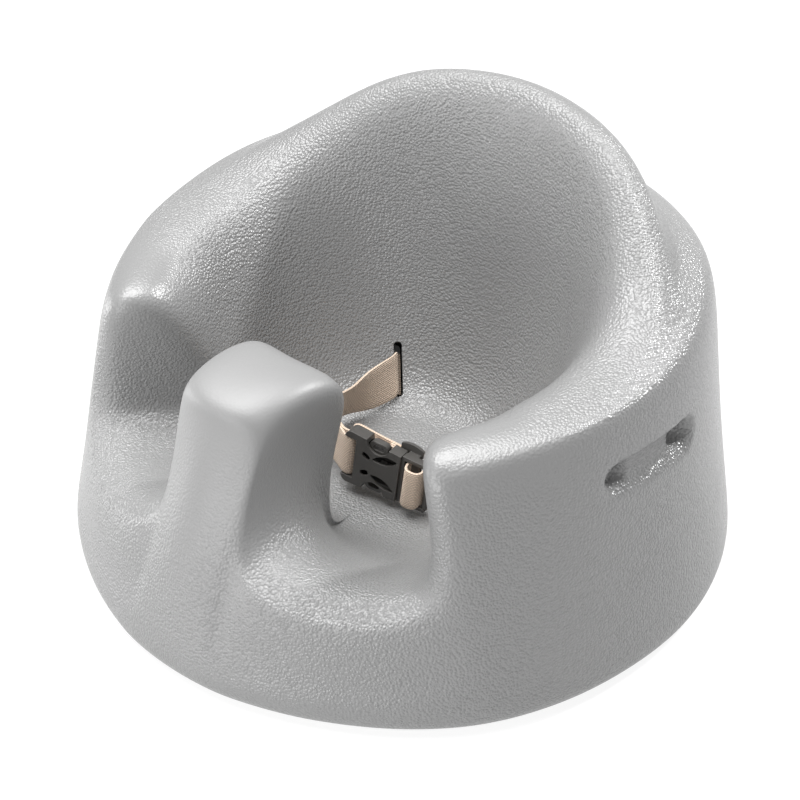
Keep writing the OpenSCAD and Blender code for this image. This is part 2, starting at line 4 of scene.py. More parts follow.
import bmesh
import bpy
import numpy as np
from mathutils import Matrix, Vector


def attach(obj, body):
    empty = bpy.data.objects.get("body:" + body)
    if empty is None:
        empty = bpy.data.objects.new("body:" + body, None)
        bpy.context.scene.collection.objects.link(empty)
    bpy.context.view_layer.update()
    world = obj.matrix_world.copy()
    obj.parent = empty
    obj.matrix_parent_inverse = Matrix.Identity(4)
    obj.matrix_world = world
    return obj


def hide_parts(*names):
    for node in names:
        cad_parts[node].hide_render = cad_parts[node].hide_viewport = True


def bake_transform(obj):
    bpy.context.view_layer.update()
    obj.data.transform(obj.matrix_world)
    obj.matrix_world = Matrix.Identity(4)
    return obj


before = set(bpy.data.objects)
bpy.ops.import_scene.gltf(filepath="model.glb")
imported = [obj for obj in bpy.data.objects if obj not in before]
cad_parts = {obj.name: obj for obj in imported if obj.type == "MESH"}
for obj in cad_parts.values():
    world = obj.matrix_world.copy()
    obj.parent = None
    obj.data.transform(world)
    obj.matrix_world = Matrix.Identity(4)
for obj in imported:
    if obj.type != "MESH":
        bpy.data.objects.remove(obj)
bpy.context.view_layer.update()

MM = 0.001

# Camera: azimuth from the front, elevation and distance, aimed a little above the well's floor
VIEW_AZ, VIEW_EL, VIEW_FAR = 41.4, 35.3, 1.1
VIEW_AT = Vector((-0.0013, -0.0013, 0.0788))
SENSOR_W, LENS_PER_FRAME, VIEW_END = 36, 2.44, 20


def towards(azimuth, elevation):
    """The way to a place seen from the seat: azimuth from the front towards +X, and elevation."""
    a, e = math.radians(azimuth), math.radians(elevation)
    return Vector((math.sin(a) * math.cos(e), -math.cos(a) * math.cos(e), math.sin(e)))


def aim(thing, place, at):
    thing.location = place
    thing.rotation_euler = (at - place).to_track_quat("-Z", "Y").to_euler()


def add_camera():
    data = bpy.data.cameras.new("photo_camera")
    data.sensor_width = SENSOR_W
    data.lens = LENS_PER_FRAME * SENSOR_W
    data.clip_end = VIEW_END
    camera = bpy.data.objects.new("photo_camera", data)
    bpy.context.scene.collection.objects.link(camera)
    aim(camera, VIEW_AT + VIEW_FAR * towards(VIEW_AZ, VIEW_EL), VIEW_AT)
    bpy.context.scene.camera = camera


add_camera()


# Shader maths as plain expressions
class Val:
    """A socket that can be written in sums, differences and products."""

    def __init__(self, nodes, socket):
        self.nodes, self.socket = nodes, socket

    def maths(self, operation, *others):
        return self.nodes.add("Math", dict(operation=operation), self, *others)

    def __add__(self, other): return self.maths("ADD", other)
    __radd__ = __add__
    def __mul__(self, other): return self.maths("MULTIPLY", other)
    __rmul__ = __mul__
    def __sub__(self, other): return self.maths("SUBTRACT", other)

    def __rsub__(self, other):
        return self.nodes.add("Math", dict(operation="SUBTRACT"), other, self)

    def bounded(self, low, high):
        """0 at low and beyond it, 1 at high and beyond it, smooth between."""
        return self.nodes.add("MapRange", dict(interpolation_type="SMOOTHSTEP"), self, low, high)


class Nodes:
    """The node tree of one new material."""

    def __init__(self, name):
        self.material = bpy.data.materials.new(name)
        self.material.use_nodes = True
        self.tree = self.material.node_tree
        self.shader = self.tree.nodes["Principled BSDF"]

    def fill(self, socket, value):
        """Links a shader value to a socket, or sets the socket to a plain number or colour."""
        if isinstance(value, Val):
            self.tree.links.new(value.socket, socket)
        else:
            socket.default_value = value

    def add(self, kind, settings=None, *values, out=0, **named):
        """A node with its settings, and its sockets filled in their order or by their names."""
        node = self.tree.nodes.new("ShaderNode" + kind)
        for key, value in (settings or {}).items():
            setattr(node, key, value)
        for key, value in [*enumerate(values), *named.items()]:
            if value is not None:
                name = key if isinstance(key, int) else key.replace("_", " ")
                self.fill(node.inputs[name], value)
        return Val(self, node.outputs[out])

    def place(self):
        """Where a point is on its object, in metres."""
        return self.add("TexCoord", out=3)

    def uv(self):
        return self.add("UVMap", dict(uv_map="weave"))

    def parts(self, vector):
        return [self.add("SeparateXYZ", None, vector, out=i) for i in range(3)]

    def noise(self, where, scale, detail, out=0):
        return self.add("TexNoise", None, Vector=where, Scale=scale, Detail=detail, out=out)

    def mix(self, share, first, second):
        """A colour between two, each a colour or a link, after the node's five other inputs."""
        return self.add("Mix", dict(data_type="RGBA"), share, *[None] * 5, first, second, out=2)

    def bump(self, height, depth, strength, under=None):
        return self.add("Bump", None, Strength=strength, Distance=depth, Height=height,
                        Normal=under)

    def finish(self, **sockets):
        """Fills the shader's sockets, by their names with _ for spaces, and gives the material."""
        for key, value in sockets.items():
            self.fill(self.shader.inputs[key.replace("_", " ")], value)
        return self.material


def grey(v):
    return (v, v, v, 1)


# Floor, light and sky
FLOOR_REACH, FLOOR_DROP = 14, 0.0003
LIT_AT = Vector((0, 0, 0.1))
SKY = 0.33
# Each light's azimuth, elevation, distance, width, height and power
LIGHTS = {
    "top_box": (-60, 78, 1.5, 1.2, 1.2, 37),
    "near_left_box": (-62, 8, 0.62, 0.35, 0.2, 0.9),
    "near_front_box": (2, 12, 0.7, 0.35, 0.2, 1.1),
    "front_left_box": (-6, 36, 1.6, 0.14, 0.14, 2.5),
    "back_right_box": (152, 46, 1.6, 0.14, 0.14, 16),
}


def add_floor():
    mesh = bpy.data.meshes.new("floor")
    corners = [(x * FLOOR_REACH, y * FLOOR_REACH, -FLOOR_DROP)
               for x, y in ((-1, -1), (1, -1), (1, 1), (-1, 1))]
    mesh.from_pydata(corners, [], [(0, 1, 2, 3)])
    floor = bpy.data.objects.new("floor", mesh)
    bpy.context.scene.collection.objects.link(floor)
    nodes = Nodes("white_sweep")
    mesh.materials.append(nodes.finish(Base_Color=grey(0.2), Roughness=0.9, Specular_IOR_Level=0.0,
                                       Emission_Color=grey(1.0), Emission_Strength=0.87))


def add_light(name, azimuth, elevation, far, width, height, power):
    data = bpy.data.lights.new(name, "AREA")
    data.shape = "RECTANGLE"
    data.size, data.size_y, data.energy = width, height, power
    lamp = bpy.data.objects.new(name, data)
    bpy.context.scene.collection.objects.link(lamp)
    aim(lamp, far * towards(azimuth, elevation), LIT_AT)


def add_sky(strength):
    world = bpy.data.worlds.new("studio")
    bpy.context.scene.world = world
    world.use_nodes = True
    world.node_tree.nodes["Background"].inputs["Color"].default_value = grey(1)
    world.node_tree.nodes["Background"].inputs["Strength"].default_value = strength


add_floor()
for name, numbers in LIGHTS.items():
    add_light(name, *numbers)
add_sky(SKY)
bpy.context.scene.view_settings.view_transform = "Standard"
bpy.context.scene.view_settings.look = "None"

# The foam seat, in millimetres. Its surface is a closed net of stations, as in the CAD source,
# but drawn finer, and closer to the moulded shape on the pommel and at the arm rests' ends.
BASE_R, EDGE_R, PAD_INSET = 190, 8, 18
BELLY_H, BELLY_INSET, TAPER = 22, 1.5, 0.15
POMMEL_W, POMMEL_H, LIP_H = 70, 165, 70
ARM_A, ARM_H, BACK_H, FLOOR_H = 48, 160, 236, 40
NECK_REACH, NECK_RISE, NECK_DROP = (14, 8), 3, 0.6
# The share of the base's radius at which the pommel has its width, and the share of the
# pommel's angle at which the outer side of a leg hollow begins
POMMEL_AT, NOSE = 0.48, 0.4
# The outer wall: two heights in shares of the shoulder's, and how far in the lower one lies.
# The well: shares of the way from its foot to its wall, out and up, and its floor's radii
LOW_UP, FACE_UP, LOW_IN = 0.46, 0.8, 0.3
WELL_SIDE, WELL_FLOOR = ((0.66, 0.5), (0.28, 0.13)), (0.84, 0.5, 0.2)
# Shares of each station: four angles (outer wall, outer crest, inner crest, well), four heights
# (shoulder, outer crest, inner crest, inner wall), six radii (outer face, shoulder, outer crest,
# inner crest, inner wall, foot of the well) and the depth of the neck below the crest. The last
# number, where there is one, is how far the arm rest's end is rounded back, in degrees
POMMEL = (
    (0.00, 0.00, 0.00, 0.00, 0.86, 0.966, 0.999, 0.843, 0.820, 0.785, 0.778, 0.453, 0.42, 0.45, 0),
    (0.15, 0.24, 0.98, 0.42, 0.86, 0.966, 0.999, 0.843, 0.815, 0.775, 0.768, 0.453, 0.42, 0.45, 0),
    (0.26, 0.42, 1.35, 0.71, 0.80, 0.943, 0.902, 0.757, 0.820, 0.765, 0.707, 0.463, 0.43, 0.45, 0),
    (0.37, 0.48, 0.46, 0.55, 0.65, 0.760, 0.766, 0.574, 0.860, 0.800, 0.730, 0.556, 0.52, 0.44, 0))
LEG = (
    (0.02, 0.04, -0.34, -0.11, 1.05, 1.16, 1.12, 0.89, 0.905, 0.865, 0.78, 0.63, 0.54, 0.41, 0),
    (0.12, 0.12, 0.10, 0.17, 0.95, 1.04, 1.00, 0.80, 0.940, 0.920, 0.84, 0.74, 0.58, 0.34, 0),
    (0.42, 0.47, 0.52, 0.58, 0.87, 0.98, 0.94, 0.77, 0.955, 0.935, 0.85, 0.76, 0.58, 0.30, 0),
    (0.77, 0.77, 0.80, 0.96, 0.90, 1.01, 0.96, 0.76, 0.955, 0.935, 0.85, 0.76, 0.59, 0.30, 0),
    (1.00, 1.00, 1.00, 1.35, 1.10, 1.18, 1.11, 0.86, 0.945, 0.920, 0.84, 0.74, 0.61, 0.32, 0, 3))
ARM = (
    (0.03, -0.012, -0.071, 0.079, 0.84, 0.937, 0.841, 0.67, 0.91, 0.875, 0.82, 0.7, 0.6, 0.36, 0, 6),
    (0.055, 0, -0.056, 0.1, 0.91, 0.968, 1.003, 0.71, 0.895, 0.865, 0.8, 0.67, 0.59, 0.37, 0, 3),
    (0.10, 0.075, 0.08, 0.12, 0.95, 0.98, 1, 0.74, 0.89, 0.865, 0.795, 0.66, 0.575, 0.37, 0),
    (0.19, 0.19, 0.19, 0.19, 0.98, 1.00, 1.00, 0.76, 0.900, 0.875, 0.785, 0.635, 0.560, 0.36, 0),
    (0.32, 0.32, 0.32, 0.32, 1.01, 1.03, 1.03, 0.81, 0.910, 0.885, 0.775, 0.620, 0.545, 0.34, 0),
    (0.42, 0.42, 0.42, 0.42, 1.05, 1.11, 1.11, 0.88, 0.915, 0.890, 0.760, 0.615, 0.535, 0.33, 0.3))
BACK = (
    (0.52, 0.52, 0.52, 0.52, 0.74, 0.83, 0.83, 0.65, 0.905, 0.880, 0.715, 0.590, 0.525, 0.32, 0.8),
    (0.62, 0.62, 0.62, 0.62, 0.765, 0.92, 0.92, 0.72, 0.900, 0.875, 0.67, 0.56, 0.51, 0.315, 1),
    (0.73, 0.73, 0.73, 0.73, 0.76, 0.975, 0.975, 0.78, 0.9, 0.875, 0.64, 0.525, 0.49, 0.31, 0.9),
    (0.865, 0.865, 0.865, 0.865, 0.74, 1, 1, 0.8, 0.905, 0.88, 0.61, 0.495, 0.465, 0.31, 0.5),
    (1.00, 1.00, 1.00, 1.00, 0.71, 1.01, 1.01, 0.81, 0.905, 0.880, 0.60, 0.485, 0.450, 0.31, 0.3))
# From its shoulder row on the net leaves the outer wall's angle, and on its wall row it is
# this far on the way to the well's angle
SHOULDER_ROW, WALL_ROW, WALL_TURN = 6, 11, 0.4
# Steps of each row of the net, from the base to the middle of the well's floor
ROW_STEPS = (6, 4, 5, 6, 18, 24, 12, 6, 6, 8, 10, 16, 14, 10, 8, 8)
ROUND_STEPS = 14
# Where the ridges are rounded further: on the pommel and at the arm rests' ends, each by the
# limits beside the middle, from back to front and in height between which it fades in
SOFT_PLACES = (((75, 60), (-70, -90), (72, 95)), ((62, 80), (-40, -65), (72, 100)))
SOFT_ROUNDS, SOFT_PULL = 40, 0.8


def mix(a, b, t):
    return a + (b - a) * t


def smooth(low, high, x):
    t = np.clip((x - low) / (high - low), 0, 1)
    return t * t * (3 - 2 * t)


def station(shares, height, start, end):
    """One section of the net, from the base over the rim to the floor of the well."""
    side_a, out_a = (mix(start[0], end, s) for s in shares[0:2])
    crest_a, well_a = (mix(start[1], end, s) for s in shares[2:4])
    shoulder_z, outer_z, inner_z, wall_z = (s * height for s in shares[4:8])
    face_r, shoulder_r, outer_r, inner_r, wall_r, foot_r = (s * BASE_R for s in shares[8:14])
    neck, swell = shares[14], sum(shares[15:])
    low_z, face_z = LOW_UP * shoulder_z, FACE_UP * shoulder_z
    low_r = mix(BASE_R - TAPER * low_z, face_r + TAPER * (face_z - low_z), LOW_IN)
    profile = [
        (BASE_R - EDGE_R - PAD_INSET, 0), (BASE_R - EDGE_R, 0), (BASE_R, EDGE_R),
        (BASE_R - BELLY_INSET, BELLY_H), (low_r, low_z), (face_r, face_z), (shoulder_r, shoulder_z),
        (mix(mix(shoulder_r, outer_r, 1 / 3), outer_r + NECK_REACH[0], neck),
         mix(mix(shoulder_z, outer_z, 1 / 3), shoulder_z + NECK_RISE, neck)),
        (mix(mix(shoulder_r, outer_r, 2 / 3), outer_r + NECK_REACH[1], neck),
         mix(mix(shoulder_z, outer_z, 2 / 3), mix(shoulder_z, outer_z, NECK_DROP), neck)),
        (outer_r, outer_z), (inner_r, inner_z), (wall_r, wall_z)]
    profile += [(mix(foot_r, wall_r, out), mix(FLOOR_H, wall_z, up)) for out, up in WELL_SIDE]
    profile += [(share * foot_r, FLOOR_H) for share in WELL_FLOOR]
    points = []
    for row, (r, z) in enumerate(profile):
        t = min(max((r - inner_r) / (face_r - inner_r), 0), 1)
        well_t = 0 if row < WALL_ROW else WALL_TURN if row == WALL_ROW else 1
        rim_a = mix(crest_a, out_a, t) + swell * (2 * t - 1) ** 2
        a = math.radians(side_a if row < SHOULDER_ROW else mix(rim_a, well_a, well_t))
        points.append((r * math.sin(a), -r * math.cos(a), z))
    return points


def seat_net():
    """The stations of the whole seat: the right half from the front to the back, then the left."""
    pommel_a = math.degrees(math.atan(POMMEL_W / 2 / (POMMEL_AT * BASE_R)))
    nose_a = NOSE * pommel_a
    half = [station(s, POMMEL_H, (0, 0), pommel_a) for s in POMMEL]
    half += [station(s, LIP_H, (nose_a, pommel_a), ARM_A) for s in LEG]
    half += [station(s, ARM_H, (ARM_A, ARM_A), 180) for s in ARM]
    half += [station(s, BACK_H, (ARM_A, ARM_A), 180) for s in BACK]
    half = np.array(half)
    return np.concatenate([half, half[1:-1][::-1] * (-1, 1, 1)])


def spline_weights(t):
    return np.stack([(1 - t) ** 3 / 6, (3 * t ** 3 - 6 * t * t + 4) / 6,
                     (-3 * t ** 3 + 3 * t * t + 3 * t + 1) / 6, t ** 3 / 6], -1)


def foam_grid():
    """The seat's skin as a grid of points, stations by rings."""
    net = seat_net()
    rows = len(ROW_STEPS)
    down = np.concatenate([i + np.arange(n) / n for i, n in enumerate(ROW_STEPS)] + [[rows]])
    full = np.concatenate([2 * net[:, :1] - net[:, 1:2], net, 2 * net[:, -1:] - net[:, -2:-1]], 1)
    i = np.minimum(down.astype(int), rows - 1)
    w = spline_weights(down - i)
    sections = sum(w[:, k][None, :, None] * full[:, i + k] for k in range(4))
    around = np.arange(len(net) * ROUND_STEPS) / ROUND_STEPS
    i = around.astype(int)
    w = spline_weights(around - i)
    return sum(w[:, k][:, None, None] * sections[(i + k - 1) % len(net)] for k in range(4))


def soften(grid):
    """Rounds the ridges of the pommel and of the arm rests' ends, as the moulded seat has them."""
    x, y, z = abs(grid[..., 0]), grid[..., 1], grid[..., 2]
    pommel, ends = (smooth(*beside, x) * smooth(*forward, y) * smooth(*up, z)
                    for beside, forward, up in SOFT_PLACES)
    share = np.maximum(pommel, ends)[:, 1:-1, None]
    for _ in range(SOFT_ROUNDS):
        mean = (np.roll(grid, 1, 0) + np.roll(grid, -1, 0))[:, 1:-1] + grid[:, 2:] + grid[:, :-2]
        grid[:, 1:-1] += SOFT_PULL * share * (mean / 4 - grid[:, 1:-1])


# The tray recess on each side: a groove, and a round pocket at each of its ends
RECESS_L, RECESS_H, RECESS_DEPTH = 68, 18, 5
RECESS_Z, RECESS_A = 124, 89
RECESS_R = BASE_R - TAPER * RECESS_Z
POCKET_R, POCKET_DEPTH = 0.4 * RECESS_H, 11
# Each edge's reach outside its outline, and how far inside it the full depth begins
GROOVE_EDGE, POCKET_EDGE = (2.5, -3.5), (1.0, -3.2)
# Only points outside this radius, and this near the groove's middle in height, are moved
WALL_FROM, WALL_BAND = 150, 40


def press_recess(grid, side):
    """Draws the outer wall in to the tray groove and the pocket at each of its ends."""
    x, y, z = grid[..., 0] * side, grid[..., 1], grid[..., 2]
    r = np.hypot(x, y)
    outside = (r > WALL_FROM) & (x > 0) & (abs(z - RECESS_Z) < WALL_BAND)
    a = math.radians(RECESS_A)
    along = x * math.cos(a) + y * math.sin(a)
    half = (RECESS_L - RECESS_H) / 2
    gap = np.hypot(np.maximum(abs(along) - half, 0), z - RECESS_Z) - RECESS_H / 2
    share = smooth(*GROOVE_EDGE, gap) * outside
    r_new = mix(r, RECESS_R - RECESS_DEPTH, share)
    for end in (-1, 1):
        b = a + end * half / RECESS_R
        off = np.hypot(x * math.cos(b) + y * math.sin(b), z - RECESS_Z)
        share = smooth(*POCKET_EDGE, off - POCKET_R) * outside
        r_new = mix(r_new, RECESS_R - POCKET_DEPTH, share)
    grid[..., 0] *= r_new / r
    grid[..., 1] *= r_new / r


def new_mesh(name, points, faces):
    mesh = bpy.data.meshes.new(name)
    mesh.from_pydata([tuple(p) for p in points], [], faces)
    mesh.validate()
    mesh.polygons.foreach_set("use_smooth", [True] * len(mesh.polygons))
    piece = bpy.data.objects.new(name, mesh)
    bpy.context.scene.collection.objects.link(piece)
    return piece


def foam_piece():
    grid = foam_grid()
    soften(grid)
    for side in (-1, 1):
        press_recess(grid, side)
    stations, rings = grid.shape[:2]
    points = np.concatenate([grid.reshape(-1, 3), [[0, 0, 0], [0, 0, FLOOR_H]]]) * MM
    at = np.arange(stations * rings).reshape(stations, rings)
    on = np.roll(at, -1, 0)
    faces = np.stack([at[:, :-1], at[:, 1:], on[:, 1:], on[:, :-1]], -1).reshape(-1, 4).tolist()
    base, well = stations * rings, stations * rings + 1
    faces += [(base, int(at[i, 0]), int(on[i, 0])) for i in range(stations)]
    faces += [(well, int(on[i, -1]), int(at[i, -1])) for i in range(stations)]
    return new_mesh("foam_seat", points, faces)


# Grain of the skin: cells in a metre, how uneven they are, and their edges' wander and depth
GRAIN_SCALE, GRAIN_UNEVEN, GRAIN_WANDER, GRAIN_DEPTH = 640.0, 0.85, 0.0008, 0.00075


def foam_skin():
    """Satin grey skin of the moulded foam, with a fine pebbled grain."""
    n = Nodes("foam_skin")
    where = n.place()
    x, y, z = n.parts(where)
    wander = n.add("VectorMath", dict(operation="SCALE"), n.noise(where, 260.0, 1.0, out=1),
                   Scale=GRAIN_WANDER)
    spot = n.add("VectorMath", dict(operation="ADD"), where, wander)
    cells = n.add("TexVoronoi", None, Vector=spot, Scale=GRAIN_SCALE, Randomness=GRAIN_UNEVEN)
    fine = n.noise(where, 1500.0, 2.0)
    # The grain is rubbed smooth on the pommel and over the ends of the arm rests
    beside, forward = x.maths("ABSOLUTE"), 0 - y
    pommel = forward.bounded(0.07, 0.1) * beside.bounded(0.065, 0.04) * z.bounded(0.05, 0.11)
    ends = z.bounded(0.12, 0.15) * forward.bounded(0.03, 0.08)
    patches = n.noise(where, 9.0, 2.0).bounded(0.35, 0.65)
    grain = (1 - 0.75 * pommel) * (1 - 0.6 * ends) * (0.65 + 0.35 * patches)
    height = ((1 - cells) + fine * 0.12) * grain
    bumped = n.bump(height, GRAIN_DEPTH, 1.0)
    shade = n.mix(patches, grey(0.225), grey(0.24))
    rough = 0.27 + 0.06 * patches + 0.12 * pommel + 0.06 * ends
    return n.finish(Base_Color=shade, Roughness=rough, Normal=bumped, Specular_IOR_Level=0.8)


def cut_foam_painted_shade():
    """Raw foam on the cuts of the belt slots and the pockets under the seat, painted nearly black as
    the shade deep inside them.
    """
    n = Nodes("cut_foam_painted_shade")
    cells = n.add("TexVoronoi", None, Vector=n.place(), Scale=900.0)
    # Nearly black: painted shade deep inside the slots and pockets, far darker than the foam itself
    return n.finish(Base_Color=n.mix(cells, grey(0.05), grey(0.1)), Roughness=0.85,
                    Normal=n.bump(cells, 0.0003, 0.6))


# Belt: its path, in the numbers of the CAD source
WEB_W, WEB_T, RUN_GAP, SEAT_GAP = 25, 1.5, 0.3, 0.1
SLOT_L, SLOT_W, SLOT_A = 33, 5, 136
SLOT_RISE = SLOT_L / 2 - 0.56 * WEB_W
TUNNEL_A, TUNNEL_L = 38, 30
PLATE_L, PLATE_T, BAR_D, CAVITY_W = 42, 2.5, 3.2, 36
# The socket with its bar and end wall, the plug's ladder frame, and how the buckle lies
SOCKET_L, SOCKET_BAR_W, SOCKET_BAR_T, SOCKET_END = 36, 4.3, 4, 0.7
FRAME_L, STOP_L, FRAME_SLOT_L, END_BAR_D = 18.4, 2, 3.4, 3.2
YAW, ROLL, LEAN = 10, 6, 3
MOUTH_R, MOUTH_Z = 0.318 * BASE_R, FLOOR_H + 0.62 * WEB_W
BUCKLE_AT = np.array((0.161 * BASE_R, -0.192 * BASE_R, FLOOR_H + 0.84 * WEB_W))


def cos_sin(a):
    return math.cos(math.radians(a)), math.sin(math.radians(a))


IN_X, IN_Z = cos_sin(TUNNEL_A)[0], -cos_sin(TUNNEL_A)[1]


def spun(v, a):
    c, s = cos_sin(a)
    return np.array((v[0] * c - v[1] * s, v[0] * s + v[1] * c, v[2]))


def tipped(v, a):
    c, s = cos_sin(a)
    return np.array((v[0], v[1] * c - v[2] * s, v[1] * s + v[2] * c))


def turned(v):
    """Turned as the buckle lies in the well."""
    return spun(tipped(spun(v, -ROLL), 90 - LEAN), YAW)


# A knot is a middle point of the webbing and the way its width lies there
def buckle_knot(x, z):
    """A knot at the buckle: along it from its mouth, and in front of its middle."""
    return np.concatenate([BUCKLE_AT + turned((x, 0, z)), turned((0, 1, 0))])


def run_knot(across, along, rise, lean):
    """A knot in the open well, by shares of the base's radius and of the webbing's width."""
    out = np.array((across, along, 0)) / math.hypot(across, along)
    c, s = cos_sin(lean)
    place = (across * BASE_R, along * BASE_R, FLOOR_H + rise * WEB_W)
    return np.concatenate([place, s * out + (0, 0, c)])


def tunnel_knot(x, y):
    """A knot in the right slot's tunnel: into the foam from its mouth, and across it."""
    return np.concatenate([spun((MOUTH_R + x * IN_X, y, MOUTH_Z + x * IN_Z), SLOT_A - 90),
                           spun((-IN_Z, 0, IN_X), SLOT_A - 90)])


def to_left(knots):
    return [knot * (-1, 1, 1, -1, 1, 1) for knot in knots]


def laid(origin, places):
    """Knots at the buckle, from places in strap thicknesses."""
    return [buckle_knot(origin + x * WEB_T, z * WEB_T) for x, z in places]


def wrapped(knot, middle, radius, angles):
    """Knots round a bar."""
    return [knot(middle + radius * cos_sin(a)[0], radius * cos_sin(a)[1]) for a in angles]


LAYER_Y = -(WEB_T + SEAT_GAP) / 2
# The belt comes out of the foam: a knot in the tunnel, one at its mouth and one in the open
MOUTH = [tunnel_knot(6, LAYER_Y), tunnel_knot(-RUN_GAP, LAYER_Y),
         tunnel_knot(-1.4 * WEB_T, 1.6 * LAYER_Y)]
LEFT_RUN = ((-0.216, 0.195, 0.65, 30), (-0.218, 0.105, 0.67, 10), (-0.224, 0.010, 0.72, -16),
            (-0.218, -0.063, 0.80, -18), (-0.190, -0.132, 0.92, -12), (-0.137, -0.184, 1.02, -7))
RIGHT_RUN = ((0.226, 0.195, 0.66, 32), (0.260, 0.137, 0.68, 26), (0.290, 0.063, 0.70, 20),
             (0.303, -0.016, 0.72, 15), (0.300, -0.090, 0.74, 9))
# In strap thicknesses: the left strap before and behind the socket's bar, and the adjuster's
# path from behind the end bar, over the gripping bar in a loose loop and back behind the socket
FRONT_LEG = ((-11.2, -4.4), (-7.9, -2.2), (-5.2, -0.6), (-3.3, 0.7), (-1.6, 1.6))
BACK_LEG = ((-2.2, -1.75), (-4.7, -1.8), (-7.3, -3.1), (-10.6, -5.3))
END_WRAP = ((1.6, -1.83), (0, -1.8), (-1.15, -1.3), (-1.75, -0.25), (-2.05, 1.0))
FRONT_LOOP = ((6.0, 2.6), (5.3, 4.4), (3.4, 5.1), (1.2, 4.85), (-0.15, 3.3), (-0.6, 1.0),
              (-0.7, -1.0), (-1.4, -2.9))
TAIL = ((-0.3, -3.75), (-5.3, -3.95), (-12, -3.75), (-18.7, -3.8), (-22.6, -4.1), (-24.4, -5.0),
        (-24.7, -6.3), (-23.8, -7.25), (-21.3, -7.35), (-16, -6.8), (-9.3, -6.45), (-3.3, -6.35),
        (-2.55, -6.15), (-2.3, -5.75), (-2.55, -5.35), (-3.3, -5.2), (-8.6, -5.2))
LOOP_MID = -(SOCKET_L - SOCKET_END - SOCKET_BAR_W / 2) + (SOCKET_BAR_W - SOCKET_BAR_T) / 2
WRAP_R = SOCKET_BAR_T / 2 + RUN_GAP / 2 + WEB_T / 2
END_BAR_AT = FRAME_L - END_BAR_D / 2
LOOP_FROM = STOP_L + FRAME_SLOT_L - 2 * RUN_GAP
JOIN_X, JOIN_Z = FRAME_L + 3.7 * WEB_T, -2 * WEB_T
BAR_X = TUNNEL_L + PLATE_T + BAR_D / 2
ANCHOR_R = BAR_D / 2 + SEAT_GAP + WEB_T / 2
# The webbing's section, and the steps of the weave across and along it, in centimetres
FLAT_POINTS, EDGE_TURNS = 9, (math.pi / 4, math.pi / 2, 3 * math.pi / 4)
RIB, STITCH, CM_IN_MM = 0.115, 0.15, 10
# Edges that fold by more than these angles stay sharp
CLOTH_CREASE, FOAM_CREASE = 60, 50


def curve(knots, steps):
    """A smooth curve through all the knots."""
    k = np.array(knots)
    k = np.concatenate([k[:1], k, k[-1:]])
    t = (np.arange(steps) / steps)[:, None]
    rings = [(2 * b + (c - a) * t + (2 * a - 5 * b + 4 * c - d) * t * t
              + (3 * b - a - 3 * c + d) * t ** 3) / 2
             for a, b, c, d in zip(k[:-3], k[1:-2], k[2:-1], k[3:])]
    return np.concatenate(rings + [k[-1:]])


def strip_section():
    """Places across and through the webbing, all round it, with its edges rounded."""
    half = WEB_T / 2
    flat = WEB_W / 2 - half
    sides = [(a, half) for a in np.linspace(flat, -flat, FLAT_POINTS)]
    sides += [(-flat - half * math.sin(b), half * math.cos(b)) for b in EDGE_TURNS]
    sides += [(a, -half) for a in np.linspace(-flat, flat, FLAT_POINTS)]
    sides += [(flat + half * math.sin(b), half * math.cos(b)) for b in EDGE_TURNS[::-1]]
    return sides


def ribbon(name, knots, steps=8):
    """Webbing through knots, with its weave's UV map."""
    rings, sides = curve(knots, steps), strip_section()
    middle = rings[:, :3]
    up = rings[:, 3:] / np.linalg.norm(rings[:, 3:], axis=1)[:, None]
    face = np.cross(np.gradient(middle, axis=0), up)
    face /= np.linalg.norm(face, axis=1)[:, None]
    n, m = len(middle), len(sides)
    points = np.stack([middle + a * up + b * face for a, b in sides], 1).reshape(-1, 3) * MM
    faces = [(i * m + j, i * m + (j + 1) % m, (i + 1) * m + (j + 1) % m, (i + 1) * m + j)
             for i in range(n - 1) for j in range(m)]
    faces += [tuple(range(m))[::-1], tuple(range((n - 1) * m, n * m))]
    piece = new_mesh(name, points, faces)
    far = np.concatenate([[0], np.cumsum(np.linalg.norm(np.diff(middle, axis=0), axis=1))])
    layer = piece.data.uv_layers.new(name="weave")
    for loop in piece.data.loops:
        i, j = divmod(loop.vertex_index, m)
        layer.data[loop.index].uv = (far[i] / CM_IN_MM, sides[j][0] / CM_IN_MM)
    piece.data.set_sharp_from_angle(angle=math.radians(CLOTH_CREASE))
    piece.data.materials.append(WEBBING)
    return piece


def webbing_cloth():
    """Ribbed polyester webbing: ribs along its length, crossed by rows of short stitches."""
    n = Nodes("webbing_cloth")
    u, v, _ = n.parts(n.uv())
    rib = (v * (math.pi / RIB)).maths("SINE").maths("ABSOLUTE")
    row = (v * (1 / RIB)).maths("FLOOR")
    stitch = (u * (2 * math.pi / STITCH) + row * math.pi).maths("SINE") * 0.5 + 0.5
    height = rib * (0.55 + 0.45 * stitch)
    wear = n.noise(n.place(), 90.0, 3.0).bounded(0.3, 0.7)
    # The colour follows the weave's height: the grooves between the ribs and stitches are painted
    # darker, as painted shade, over the bump
    body = n.mix(height.bounded(0.05, 0.8), (0.34, 0.26, 0.2, 1), (0.85, 0.69, 0.55, 1))
    body = n.mix(wear * 0.25, body, (0.6, 0.47, 0.37, 1))
    return n.finish(Base_Color=body, Roughness=0.75, Normal=n.bump(height, 0.0005, 0.8),
                    Specular_IOR_Level=0.3, Sheen_Weight=0.15)


def thread_stitches():
    """Close rows of sewing thread."""
    n = Nodes("thread_stitches")
    x, _, z = n.parts(n.place())
    rows = (z * 3600 + x * 900).maths("SINE") * 0.5 + 0.5
    # The colour follows the rows' height: the gaps between the threads are painted darker, as
    # painted shade
    return n.finish(Base_Color=n.mix(rows, (0.3, 0.22, 0.16, 1), (0.62, 0.49, 0.38, 1)),
                    Roughness=0.7, Normal=n.bump(rows, 0.0004, 0.8))


